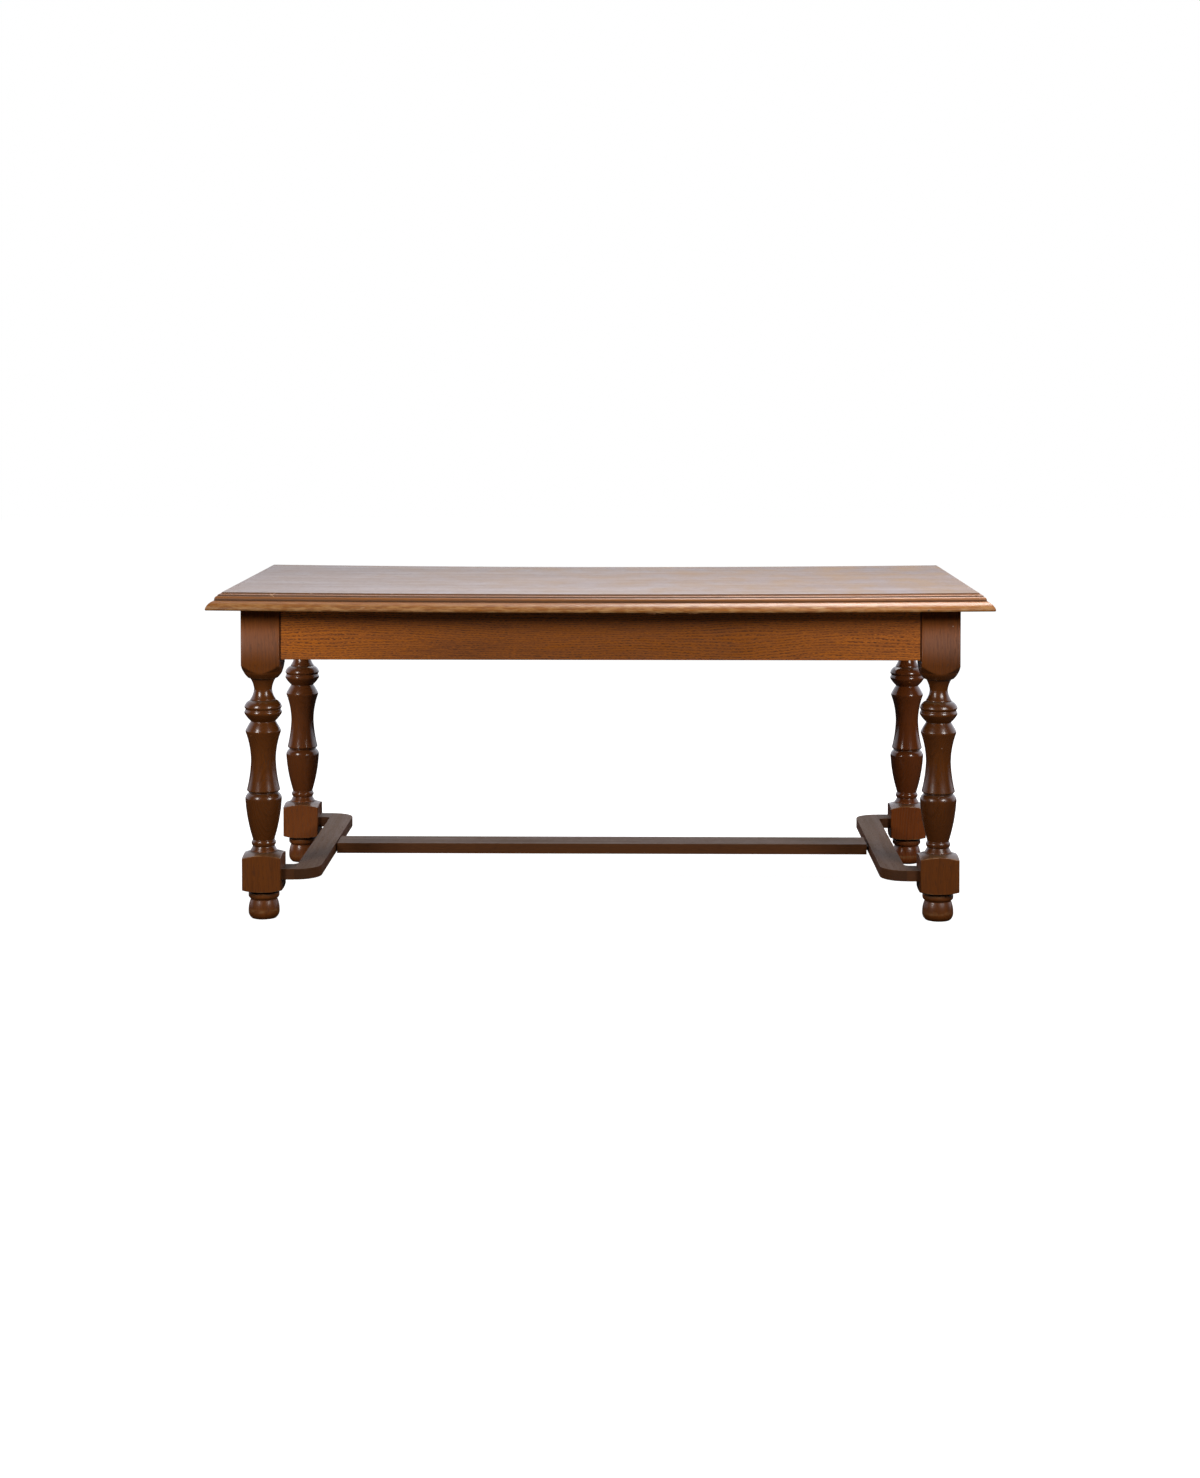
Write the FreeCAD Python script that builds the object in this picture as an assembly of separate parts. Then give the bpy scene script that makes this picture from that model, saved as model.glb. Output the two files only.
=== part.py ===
import FreeCAD, Part
import math
import os

os.makedirs("parts", exist_ok=True)

Vector = FreeCAD.Vector

# A long oak table on four turned legs, joined near the floor by an H-shaped stretcher.
# Millimetres. X runs along the table and the front faces -Y.
# The origin is on the floor under the middle of the table.

# Whole table
table_length = 1810.0
table_depth = 860.0
table_height = 770.0
cut_overrun = 5.0
joint_clearance = 0.1

# Top: edge-jointed boards inside a moulded edge, built up thicker around the rim
edge_thickness = 40.0
moulding_width = 34.0
board_thickness = 26.0
board_count = 5

# Section of the edge moulding, from the rim of the flat outwards and down
rim_cove_width = 9.3
rim_cove_height = 5.8
rim_cove_hollow = 1.0
rim_step_height = 1.4
bead_width = 6.3
bead_height = 9.8
bead_bulge = 2.2
quirk_height = 1.2
ovolo_height = 14.4
ovolo_bulge = 3.6
lower_edge_round = 1.6
lower_edge_bulge = 0.4

# Tongues that hold the top together
moulding_tongue_depth = 8.0
tongue_thickness = 6.0
board_tongue_width = 16.0
board_tongue_end_stop = 45.0

# Legs
leg_block_size = 90.0
leg_corner_round = 2.5
end_overhang = 72.0
front_overhang = 58.0

# Foot and ankle, from the floor up
foot_base_radius = 29.0
foot_base_bulge = 2.4
foot_widest_height = 17.5
foot_radius = 36.2
foot_upper_height = 26.5
foot_upper_bulge = 1.4
ankle_radius = 31.0
ankle_height = 2.0
ankle_ring_radius = 36.0
ankle_ring_curve_height = 8.0
ankle_ring_bulge = 1.6
ankle_ring_height = 6.5
ankle_gap_radius = 32.0
ankle_gap_height = 5.5

# Lower block, which takes the stretcher
lower_block_height = 90.5
lower_shoulder_radius = 42.0
lower_shoulder_rise = 9.5
lower_shoulder_bulge = 2.0
block_top_radius = 31.0
block_top_drop = 12.5
block_top_bulge = 0.3

# Turnings between the blocks, from the lower block up
base_lip_radius = 30.2
base_lip_height = 3.2
base_lip_bulge = 0.8
base_cone_height = 9.3
collar_root_radius = 24.9
collar_height = 14.5
collar_bulge = 3.4
vase_height = 93.5
vase_radius = 42.3
vase_bulge = 2.9
vase_shoulder_height = 17.5
vase_shoulder_bulge = 3.0
waist_groove_radius = 33.2
waist_groove_height = 5.5
waist_foot_radius = 38.7
waist_lower_height = 70.0
waist_lower_hollow = 1.9
waist_radius = 28.9
waist_upper_height = 67.0
waist_upper_hollow = 2.9
waist_shoulder_radius = 41.1
waist_shoulder_height = 3.0
shoulder_cone_height = 22.0
shoulder_cone_bulge = 0.6
bulb_root_radius = 28.5
lower_bulb_rise = 18.5
lower_bulb_bulge = 1.0
bulb_radius = 43.5
lower_bulb_cap_height = 8.5
bulb_cap_bulge = 1.0
bulb_groove_radius = 40.8
bulb_groove_height = 2.2
upper_bulb_foot_height = 4.6
upper_bulb_foot_bulge = 0.5
upper_bulb_rise = 14.8
upper_bulb_bulge = 2.2
neck_step_width = 2.0
neck_end_radius = 29.5
neck_step_height = 3.0
neck_lower_height = 23.0
neck_lower_hollow = 1.7
neck_radius = 20.7
neck_upper_height = 26.4
neck_upper_hollow = 1.7
neck_top_radius = 29.8

# Bell turned on the bottom of the upper block
bell_step_width = 4.0
bell_rim_radius = 46.5
bell_lower_height = 17.0
bell_lower_bulge = 1.0
bell_upper_height = 22.5
bell_upper_bulge = 0.3

# Frame under the top
apron_height = 120.0
apron_thickness = 25.0
apron_setback = 6.0
apron_tenon_length = 42.0
apron_tenon_thickness = 10.0
apron_tenon_margin = 15.0
cross_rail_spacing = 620.0
cross_rail_width = 60.0
cross_rail_height = 40.0
cross_rail_tenon_length = 12.0
cross_rail_tenon_thickness = 20.0

# Blocks and screws that hold the top down
fixing_block_section = 22.0
fixing_block_length = 90.0
fixing_block_spacing = 480.0
fixing_blocks_per_side = 3
screw_length = 46.0
screw_radius = 2.5
screw_head_radius = 5.0
screw_head_height = 3.0

# Stretcher
stretcher_thickness = 25.0
stretcher_top_height = 119.0
end_bar_width = 58.0
end_bar_corner_radius = 56.0
arm_length = 30.0
arm_width = 58.0
arm_fillet_radius = 14.0
centre_stretcher_width = 92.0
left_shoulder_gap = 3.0
right_shoulder_gap = 6.0
stretcher_tenon_thickness = 9.0
centre_tenon_width = 60.0
centre_tenon_length = 30.0
arm_tenon_width = 36.0
arm_tenon_length = 26.0

# Places worked out from the sizes above
frame_height = table_height - edge_thickness
flat_half_length = table_length / 2 - moulding_width
flat_half_depth = table_depth / 2 - moulding_width
board_bottom = table_height - board_thickness
leg_x = table_length / 2 - end_overhang - leg_block_size / 2
leg_y = table_depth / 2 - front_overhang - leg_block_size / 2
leg_inner_x = leg_x - leg_block_size / 2
leg_inner_y = leg_y - leg_block_size / 2
apron_bottom = frame_height - apron_height
long_apron_y = leg_y + leg_block_size / 2 - apron_setback - apron_thickness / 2
end_apron_x = leg_x + leg_block_size / 2 - apron_setback - apron_thickness / 2
stretcher_bottom = stretcher_top_height - stretcher_thickness
stretcher_middle = stretcher_top_height - stretcher_thickness / 2
end_bar_outer_position = leg_inner_x - arm_length
end_bar_inner_position = end_bar_outer_position - end_bar_width
board_width = 2 * flat_half_depth / board_count

SIDES = (("left", -1), ("right", 1))
FACES = (("front", -1), ("back", 1))


def block(x_range, y_range, z_range):
    """Rectangular solid between two limits along each axis, given in either order."""
    x0, x1 = sorted(x_range)
    y0, y1 = sorted(y_range)
    z0, z1 = sorted(z_range)
    return Part.makeBox(x1 - x0, y1 - y0, z1 - z0, Vector(x0, y0, z0))


def around(middle, width):
    """Limits of a width centred on a place."""
    return (middle - width / 2, middle + width / 2)


def save(name, shape):
    """One STEP file for each named piece."""
    if not shape.isValid():
        raise ValueError(name + " is not a valid solid")
    shape.exportStep("parts/" + name + ".step")


def bulged_edge(start, end, bulge):
    """Straight edge, or an arc that stands off its chord to the right of the way it runs."""
    if bulge == 0:
        return Part.LineSegment(start, end).toShape()
    chord = end - start
    aside = Vector(chord.z, 0, -chord.x).normalize()
    middle = (start + end) / 2 + aside * bulge
    return Part.Arc(start, middle, end).toShape()


def section_face(start, steps):
    """Closed face in the XZ plane; each step is the next point and the bulge of the edge to it."""
    first = Vector(start[0], 0, start[1])
    edges = []
    here = first
    for across, height, bulge in steps:
        there = Vector(across, 0, height)
        edges.append(bulged_edge(here, there, bulge))
        here = there
    edges.append(bulged_edge(here, first, 0))
    return Part.Face(Part.Wire(edges))


def mortise(x_range, y_range, z_range):
    """Pocket for a tenon of these limits, wider all round by the joint's clearance."""
    x0, x1 = sorted(x_range)
    y0, y1 = sorted(y_range)
    z0, z1 = sorted(z_range)
    return block((x0 - joint_clearance, x1 + joint_clearance),
                 (y0 - joint_clearance, y1 + joint_clearance),
                 (z0 - joint_clearance, z1 + joint_clearance))


def turning_steps():
    """Outline of a leg on the lathe, from the middle of the foot up to the top of the leg."""
    corner_radius = math.hypot(leg_block_size, leg_block_size) / 2 + cut_overrun
    steps = []
    z = 0

    def go(radius, rise=0, bulge=0):
        nonlocal z
        z += rise
        steps.append((radius, z, bulge))

    # Bun foot, ankle ring and the narrow gap under the lower block
    go(foot_base_radius)
    go(foot_radius, foot_widest_height, foot_base_bulge)
    go(ankle_radius, foot_upper_height, foot_upper_bulge)
    go(ankle_radius, ankle_height)
    go(ankle_ring_radius, ankle_ring_curve_height, ankle_ring_bulge)
    go(ankle_ring_radius, ankle_ring_height)
    go(ankle_gap_radius)
    go(ankle_gap_radius, ankle_gap_height)

    # Lower block, with both ends rounded over on the lathe
    go(lower_shoulder_radius)
    go(corner_radius, lower_shoulder_rise, lower_shoulder_bulge)
    go(corner_radius, lower_block_height - lower_shoulder_rise - block_top_drop)
    go(block_top_radius, block_top_drop, block_top_bulge)

    # Lip, cone and collar under the vase
    go(base_lip_radius)
    go(base_lip_radius, base_lip_height, base_lip_bulge)
    go(collar_root_radius, base_cone_height)
    go(collar_root_radius, collar_height, collar_bulge)

    # Vase, groove, hollow waist and its sharp shoulder
    go(vase_radius, vase_height, vase_bulge)
    go(waist_groove_radius, vase_shoulder_height, vase_shoulder_bulge)
    go(waist_foot_radius, waist_groove_height)
    go(waist_radius, waist_lower_height, -waist_lower_hollow)
    go(waist_shoulder_radius, waist_upper_height, -waist_upper_hollow)
    go(waist_shoulder_radius, waist_shoulder_height)
    go(bulb_root_radius, shoulder_cone_height, shoulder_cone_bulge)

    # Double bulb with a fine groove round it
    go(bulb_radius, lower_bulb_rise, lower_bulb_bulge)
    go(bulb_groove_radius, lower_bulb_cap_height, bulb_cap_bulge)
    go(bulb_groove_radius, bulb_groove_height)
    go(bulb_radius, upper_bulb_foot_height, upper_bulb_foot_bulge)
    go(neck_end_radius + neck_step_width, upper_bulb_rise, upper_bulb_bulge)

    # Hollow neck between two fine steps
    go(neck_end_radius)
    go(neck_end_radius, neck_step_height)
    go(neck_radius, neck_lower_height, -neck_lower_hollow)
    go(neck_top_radius, neck_upper_height, -neck_upper_hollow)

    # Bell cut into the upper block, then the block up to the frame's height
    go(neck_top_radius + bell_step_width)
    go(bell_rim_radius, bell_lower_height, bell_lower_bulge)
    go(corner_radius, bell_upper_height, bell_upper_bulge)
    go(corner_radius, frame_height - z)
    go(0)
    return steps


def apron_tenon_height():
    return (apron_bottom + apron_tenon_margin, frame_height - apron_tenon_margin)


def leg(x_sign, y_sign):
    """One turned leg with its two apron mortises and the mortise for the stretcher's arm."""
    turned = section_face((0, 0), turning_steps()).revolve(Vector(0, 0, 0), Vector(0, 0, 1), 360)
    square = block(around(0, leg_block_size), around(0, leg_block_size), (0, frame_height))
    upright = [edge for edge in square.Edges if edge.BoundBox.ZLength > leg_block_size]
    square = square.makeFillet(leg_corner_round, upright)
    blank = turned.common(square)
    blank.translate(Vector(x_sign * leg_x, y_sign * leg_y, 0))

    tenon_z = apron_tenon_height()
    depth = apron_tenon_length + joint_clearance
    long_pocket = mortise((x_sign * (leg_inner_x - cut_overrun), x_sign * (leg_inner_x + depth)),
                          around(y_sign * long_apron_y, apron_tenon_thickness), tenon_z)
    end_pocket = mortise(around(x_sign * end_apron_x, apron_tenon_thickness),
                         (y_sign * (leg_inner_y - cut_overrun), y_sign * (leg_inner_y + depth)), tenon_z)
    arm_depth = arm_tenon_length + joint_clearance
    arm_pocket = mortise((x_sign * (leg_inner_x - cut_overrun), x_sign * (leg_inner_x + arm_depth)),
                         around(y_sign * leg_y, arm_tenon_width),
                         around(stretcher_middle, stretcher_tenon_thickness))
    return blank.cut([long_pocket, end_pocket, arm_pocket])


def long_apron(y_sign):
    """Front or back apron, tenoned into two legs and mortised inside for the cross rails."""
    y = y_sign * long_apron_y
    body = block((-leg_inner_x, leg_inner_x), around(y, apron_thickness), (apron_bottom, frame_height))
    tenon_end = leg_inner_x + apron_tenon_length
    tenon = block((-tenon_end, tenon_end), around(y, apron_tenon_thickness), apron_tenon_height())
    inner_face = y_sign * (long_apron_y - apron_thickness / 2)
    pocket_end = inner_face + y_sign * cross_rail_tenon_length
    pockets = []
    for _, x_sign in SIDES:
        pockets.append(mortise(around(x_sign * cross_rail_spacing / 2, cross_rail_width),
                               (inner_face - y_sign * cut_overrun, pocket_end),
                               around(frame_height - cross_rail_height / 2, cross_rail_tenon_thickness)))
    return body.fuse(tenon).removeSplitter().cut(pockets)


def end_apron(x_sign):
    """Apron across one end, tenoned into two legs."""
    x = x_sign * end_apron_x
    body = block(around(x, apron_thickness), (-leg_inner_y, leg_inner_y), (apron_bottom, frame_height))
    tenon_end = leg_inner_y + apron_tenon_length
    tenon = block(around(x, apron_tenon_thickness), (-tenon_end, tenon_end), apron_tenon_height())
    return body.fuse(tenon).removeSplitter()


def cross_rail(x_sign):
    """Hidden rail laid flat between the two long aprons."""
    x = x_sign * cross_rail_spacing / 2
    half = long_apron_y - apron_thickness / 2
    middle = frame_height - cross_rail_height / 2
    body = block(around(x, cross_rail_width), (-half, half), around(middle, cross_rail_height))
    tenon_end = half + cross_rail_tenon_length
    tenon = block(around(x, cross_rail_width), (-tenon_end, tenon_end),
                  around(middle, cross_rail_tenon_thickness))
    return body.fuse(tenon).removeSplitter()


def fixing_places():
    """Name, middle and long direction of each block glued inside the aprons."""
    half = fixing_block_section / 2
    inside_long = long_apron_y - apron_thickness / 2 - half
    inside_end = end_apron_x - apron_thickness / 2 - half
    first = -fixing_block_spacing * (fixing_blocks_per_side - 1) / 2
    places = []
    for face, y_sign in FACES:
        for number in range(fixing_blocks_per_side):
            x = first + number * fixing_block_spacing
            places.append(("fixing_block_%s_%d" % (face, number + 1), x, y_sign * inside_long, True))
    for side, x_sign in SIDES:
        places.append(("fixing_block_" + side, x_sign * inside_end, 0, False))
    return places


def screw(x, y):
    """Countersunk wood screw that stands head down, its head flush with the block's underside."""
    bottom = frame_height - fixing_block_section
    head = Part.makeCone(screw_head_radius, screw_radius, screw_head_height, Vector(x, y, bottom))
    shank = Part.makeCylinder(screw_radius, screw_length, Vector(x, y, bottom))
    return head.fuse(shank).removeSplitter()


def fixing_block(x, y, along_x):
    lengths = (fixing_block_length, fixing_block_section)
    if not along_x:
        lengths = lengths[::-1]
    return block(around(x, lengths[0]), around(y, lengths[1]),
                 (frame_height - fixing_block_section, frame_height))


def top_board(number):
    """One board of the top, grooved for its neighbours' tongues and for the moulding's tongue."""
    front_edge = -flat_half_depth + (number - 1) * board_width
    back_edge = front_edge + board_width
    board = block((-flat_half_length, flat_half_length), (front_edge, back_edge),
                  (board_bottom, table_height))
    middle = board_bottom + board_thickness / 2
    tongue_z = around(middle, tongue_thickness)
    beyond = flat_half_length + cut_overrun
    rim = moulding_tongue_depth + joint_clearance
    grooves = []
    for _, x_sign in SIDES:
        grooves.append(mortise((x_sign * (flat_half_length - rim), x_sign * beyond),
                               (front_edge - cut_overrun, back_edge + cut_overrun), tongue_z))
    edges = ((front_edge, 1, number == 1), (back_edge, -1, number == board_count))
    for place, inwards, outermost in edges:
        if outermost:
            across = (place - inwards * cut_overrun, place + inwards * rim)
            grooves.append(mortise((-beyond, beyond), across, tongue_z))
        else:
            stop = flat_half_length - board_tongue_end_stop
            grooves.append(mortise((-stop, stop), around(place, board_tongue_width), tongue_z))
    return board.cut(grooves)


def board_tongue(number):
    """Loose tongue between a board and the next one behind it."""
    place = -flat_half_depth + number * board_width
    stop = flat_half_length - board_tongue_end_stop
    return block((-stop, stop), around(place, board_tongue_width),
                 around(board_bottom + board_thickness / 2, tongue_thickness))


def moulding_section():
    """Section of the edge in the XZ plane, with x measured outwards from the rim of the flat."""
    top = table_height
    tongue = around(board_bottom + board_thickness / 2, tongue_thickness)
    rim_z = top - rim_cove_height
    bead_z = rim_z - rim_step_height
    bead_foot_x = rim_cove_width + bead_width
    bead_foot_z = bead_z - bead_height
    ovolo_z = bead_foot_z - quirk_height
    ovolo_foot_z = ovolo_z - ovolo_height
    steps = [(-moulding_tongue_depth, tongue[1], 0),
             (-moulding_tongue_depth, tongue[0], 0),
             (0, tongue[0], 0),
             (0, frame_height, 0),
             (moulding_width - lower_edge_round, frame_height, 0),
             (moulding_width, frame_height + lower_edge_round, lower_edge_bulge),
             (moulding_width, ovolo_foot_z, 0),
             (bead_foot_x, ovolo_z, ovolo_bulge),
             (bead_foot_x, bead_foot_z, 0),
             (rim_cove_width, bead_z, bead_bulge),
             (rim_cove_width, rim_z, 0),
             (0, top, -rim_cove_hollow)]
    return section_face((0, tongue[1]), steps)


def moulding(length, depth):
    """Edge moulding along the front of a rectangle of this size, mitred at both ends."""
    section = moulding_section()
    section.rotate(Vector(0, 0, 0), Vector(0, 0, 1), -90)
    section.translate(Vector(-length / 2, -depth / 2 + moulding_width, 0))
    strip = section.extrude(Vector(length, 0, 0))
    inset = moulding_width + moulding_tongue_depth
    outer = length / 2
    inner = outer - inset
    front = -depth / 2
    corners = [Vector(-outer, front, 0),
               Vector(outer, front, 0),
               Vector(inner, front + inset, 0),
               Vector(-inner, front + inset, 0),
               Vector(-outer, front, 0)]
    wedge = Part.Face(Part.makePolygon(corners)).extrude(Vector(0, 0, table_height + cut_overrun))
    return strip.common(wedge)


def rim_battens():
    """Battens under the boards, flush with the rim above and reaching in over the whole leg."""
    z_range = (frame_height, board_bottom)
    full_length = (-flat_half_length, flat_half_length)
    between = (-leg_inner_y, leg_inner_y)
    battens = []
    for face, y_sign in FACES:
        outer = (y_sign * leg_inner_y, y_sign * flat_half_depth)
        battens.append(("build_up_" + face, block(full_length, outer, z_range)))
    for side, x_sign in SIDES:
        outer = (x_sign * leg_inner_x, x_sign * flat_half_length)
        battens.append(("build_up_" + side, block(outer, between, z_range)))
        over_rail = around(x_sign * cross_rail_spacing / 2, cross_rail_width)
        battens.append(("build_up_cross_" + side, block(over_rail, between, z_range)))
    return battens


def end_bar(x_sign):
    """Bar across one end of the stretcher, its two corners towards the table's middle rounded."""
    half = leg_y + arm_width / 2
    radius = end_bar_corner_radius
    inner = end_bar_inner_position
    bar = block((inner, end_bar_outer_position), (-half, half), (stretcher_bottom, stretcher_top_height))
    upright = [edge for edge in bar.Edges if edge.BoundBox.ZLength > stretcher_thickness / 2]
    rounded = [edge for edge in upright if edge.BoundBox.XMax < inner + end_bar_width / 2]
    bar = bar.makeFillet(radius, rounded)
    tenon_z = around(stretcher_middle, stretcher_tenon_thickness)
    centre_x = (inner - cut_overrun, inner + centre_tenon_length)
    arm_x = (end_bar_outer_position - arm_tenon_length, end_bar_outer_position + cut_overrun)
    cuts = [mortise(centre_x, around(0, centre_tenon_width), tenon_z)]
    for _, y_sign in FACES:
        cuts.append(mortise(arm_x, around(y_sign * leg_y, arm_tenon_width), tenon_z))
    bar = bar.cut(cuts)
    if x_sign < 0:
        bar = bar.mirror(Vector(0, 0, 0), Vector(1, 0, 0))
    return bar


def stretcher_arm(x_sign, y_sign):
    """Short arm from the end bar to a leg's lower block, with a tenon at each end."""
    near = end_bar_outer_position
    far = leg_inner_x
    outer_edge = leg_y + arm_width / 2
    inner_edge = leg_y - arm_width / 2
    z_range = (stretcher_bottom, stretcher_top_height)
    body = block((near, far), (inner_edge, outer_edge), z_range)
    radius = arm_fillet_radius
    corner = block((near, near + radius), (inner_edge - radius, inner_edge), z_range)
    hollow = Part.makeCylinder(radius, stretcher_thickness,
                               Vector(near + radius, inner_edge - radius, stretcher_bottom))
    tenon = block((near - arm_tenon_length, far + arm_tenon_length), around(leg_y, arm_tenon_width),
                  around(stretcher_middle, stretcher_tenon_thickness))
    arm = body.fuse([corner.cut(hollow), tenon]).removeSplitter()
    if x_sign < 0:
        arm = arm.mirror(Vector(0, 0, 0), Vector(1, 0, 0))
    if y_sign < 0:
        arm = arm.mirror(Vector(0, 0, 0), Vector(0, 1, 0))
    return arm


def centre_stretcher():
    """Long flat bar down the middle, whose shoulders stand a little open at both ends."""
    left = -end_bar_inner_position + left_shoulder_gap
    right = end_bar_inner_position - right_shoulder_gap
    body = block((left, right), around(0, centre_stretcher_width),
                 (stretcher_bottom, stretcher_top_height))
    tenon_end = end_bar_inner_position + centre_tenon_length
    tenon = block((-tenon_end, tenon_end), around(0, centre_tenon_width),
                  around(stretcher_middle, stretcher_tenon_thickness))
    return body.fuse(tenon).removeSplitter()


# Legs and the frame that they carry
for side, x_sign in SIDES:
    for face, y_sign in FACES:
        save("leg_%s_%s" % (face, side), leg(x_sign, y_sign))
        save("stretcher_arm_%s_%s" % (face, side), stretcher_arm(x_sign, y_sign))
    save("apron_" + side, end_apron(x_sign))
    save("cross_rail_" + side, cross_rail(x_sign))
    save("end_stretcher_" + side, end_bar(x_sign))
for face, y_sign in FACES:
    save("apron_" + face, long_apron(y_sign))
save("centre_stretcher", centre_stretcher())

# Blocks inside the aprons and the screws through them into the top
screws = [screw(x, y) for _, x, y, _ in fixing_places()]
for name, x, y, along_x in fixing_places():
    save(name, fixing_block(x, y, along_x).cut(screws))
save("fixing_screws", Part.makeCompound(screws))

# Top
for number in range(1, board_count + 1):
    save("top_board_%d" % number, top_board(number).cut(screws))
    if number < board_count:
        save("top_tongue_%d" % number, board_tongue(number))
for name, batten in rim_battens():
    save(name, batten.cut(screws))
front_moulding = moulding(table_length, table_depth)
save("edge_moulding_front", front_moulding)
save("edge_moulding_back", front_moulding.rotated(Vector(0, 0, 0), Vector(0, 0, 1), 180))
right_moulding = moulding(table_depth, table_length).rotated(Vector(0, 0, 0), Vector(0, 0, 1), 90)
save("edge_moulding_right", right_moulding)
save("edge_moulding_left", right_moulding.rotated(Vector(0, 0, 0), Vector(0, 0, 1), 180))
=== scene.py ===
import math
import bpy
import numpy
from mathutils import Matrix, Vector
from mathutils.bvhtree import BVHTree


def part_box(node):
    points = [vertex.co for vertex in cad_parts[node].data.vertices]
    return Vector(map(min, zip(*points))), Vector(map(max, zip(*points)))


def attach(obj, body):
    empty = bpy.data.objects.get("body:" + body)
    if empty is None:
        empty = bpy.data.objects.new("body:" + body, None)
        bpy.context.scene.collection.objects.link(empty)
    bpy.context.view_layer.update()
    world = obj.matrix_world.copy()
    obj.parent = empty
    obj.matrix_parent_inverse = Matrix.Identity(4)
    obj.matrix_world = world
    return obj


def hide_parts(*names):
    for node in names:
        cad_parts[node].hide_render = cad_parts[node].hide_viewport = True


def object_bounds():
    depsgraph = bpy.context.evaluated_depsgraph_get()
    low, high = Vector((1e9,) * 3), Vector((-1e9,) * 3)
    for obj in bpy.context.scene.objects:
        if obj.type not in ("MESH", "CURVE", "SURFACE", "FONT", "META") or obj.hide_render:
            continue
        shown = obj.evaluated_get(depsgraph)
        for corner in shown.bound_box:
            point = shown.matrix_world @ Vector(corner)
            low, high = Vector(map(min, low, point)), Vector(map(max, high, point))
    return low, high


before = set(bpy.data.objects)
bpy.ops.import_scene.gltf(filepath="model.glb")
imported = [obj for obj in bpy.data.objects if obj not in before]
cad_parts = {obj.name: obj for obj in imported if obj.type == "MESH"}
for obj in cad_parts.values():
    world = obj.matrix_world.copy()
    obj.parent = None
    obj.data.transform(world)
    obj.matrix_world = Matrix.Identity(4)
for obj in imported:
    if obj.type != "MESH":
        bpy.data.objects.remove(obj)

cad_low, cad_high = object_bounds()


# Legs. Four stout legs, each turned from one square blank of a close-grained hardwood, stained
# red-brown and polished. The blocks left square hold the mortises of the aprons and the stretcher,
# and the lathe has rounded them over where the turning starts.
SIDES = (("left", -1), ("right", 1))
FACES = (("front", -1), ("back", 1))
LEG_CORNER_ROUND = 0.0025
LEG_EASE = 0.0014
LEG_SOFTENING = 0.0017
LEG_SAMPLE_STEP = 0.00025
LEG_OUTLINE_TOLERANCE = 0.000015
LEG_ROW_STEP = 0.0008
ROUNDING_OVER_SHARES = (0.97, 1.385)
FLAT_COLUMNS = 13
CORNER_COLUMNS = 6
CORNER_HALF_ANGLE = math.radians(2.2)
LEG_GRIME_REACH = 0.003
LEG_GRIME_DEPTH = 0.0008
FOOT_SWELL = 0.019
FOOT_WEAR_REACH = 0.006

# How much paler or darker than the turnings the parts of a leg have come out.
UPPER_BLOCK_HEIGHT = 0.575
UPPER_BLOCK_PALENESS = 0.2
# Painted light: the head of each upper block, in the shade that the top casts, is painted paler.
HEAD_LIGHT_HEIGHT = 0.68
HEAD_LIGHT_REACH = 0.05
HEAD_PAINTED_LIGHT = 1.3
VASE_LOW = 0.16
VASE_HIGH = 0.3
VASE_PALENESS = -0.1
LOWER_BLOCK_PALENESS = 0.26

# Grain of every wood on the table, in grains to the metre along the grain, out from the pith and
# round it, and the range of its noise that shows.
TRUNK_BEND = (2.2, 9.0, 9.0)
TRUNK_WAVE = (16.0, 12.0, 12.0)
ROUND_THE_PITH_SHARE = 0.1
LATE_WOOD_START = (0.35, 0.92)
LATE_WOOD_END = (1.0, 0.94)
FAINTEST_RING = 0.35
FIBRE_GRAIN = (14.0, 600.0, 300.0)
FIBRE_SPREAD = (0.35, 0.65)
PATCH_GRAIN = (3.0, 22.0, 22.0)
PATCH_SPREAD = (0.3, 0.7)
EITHER_WAY = (-0.5, 0.5)
STREAK_EDGE = (0.42, 0.62)
PORE_DARKNESS = 0.3
PORE_DEPTH = 0.0003
FIBRE_HEIGHT_SHARE = 0.4
SEED_SPREAD = (1.0, 1.7, 2.3)
PORE_SEED = (3.0, 5.0)
FIBRE_SEED = (1.0, 2.0)
PATCH_SEED = (7.0, 9.0)
STREAK_SEED = (11.0, 4.0)
WEAR_SEED = (13.0, 6.0)

# What age does to the polish, with painted shade. A point's relief is above zero in a hollow, which darkens
# with grime and, on the edge's moulding, with painted shade; below zero on a high place that gets rubbed, and
# far below zero on wood that was never polished.
GRIME_AND_SHADE_RELIEF = (0.15, 0.9)
WORN_RELIEF = (-0.1, -0.9)
RAW_RELIEF = (-1.2, -1.9)
# Colour of grime, and of painted shade in the moulding's hollows.
GRIME_AND_SHADE_COLOUR = (0.022, 0.0095, 0.004, 1.0)
DUST_COLOUR = (0.2, 0.14, 0.07, 1.0)
DUST_FACING = (0.7, 1.0)
DUST_PATCHES = (0.3, 0.6, 0.7, 1.0)
WEAR_PATCHES = (0.44, 0.6, 0.1, 1.0)
WORN_SHARE = 0.8
RAW_SHARE = 0.85
MARK_SHARE = 0.85
MARK_CORE_SHARE = 0.5
RUBBED_PALER = 1.4
FULL_PALENESS = 0.6

# How much rougher each of these leaves the surface.
PATCH_MATTING = (-0.04, 0.06)
STREAK_MATTING = 0.35
PORE_MATTING = 0.15
PALE_MATTING = 0.2
GRIME_MATTING = 0.4
RAW_MATTING = 0.4
COAT_ROUGHNESS = 0.2


def cleared_tree(owner):
    """The empty node tree of a material or of the world."""
    owner.use_nodes = True
    owner.node_tree.nodes.clear()
    return owner.node_tree


def link(tree, socket, value):
    """Puts a number, a vector, a colour or another node's output into an input."""
    if isinstance(value, bpy.types.NodeSocket):
        tree.links.new(value, socket)
    else:
        socket.default_value = value


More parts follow.
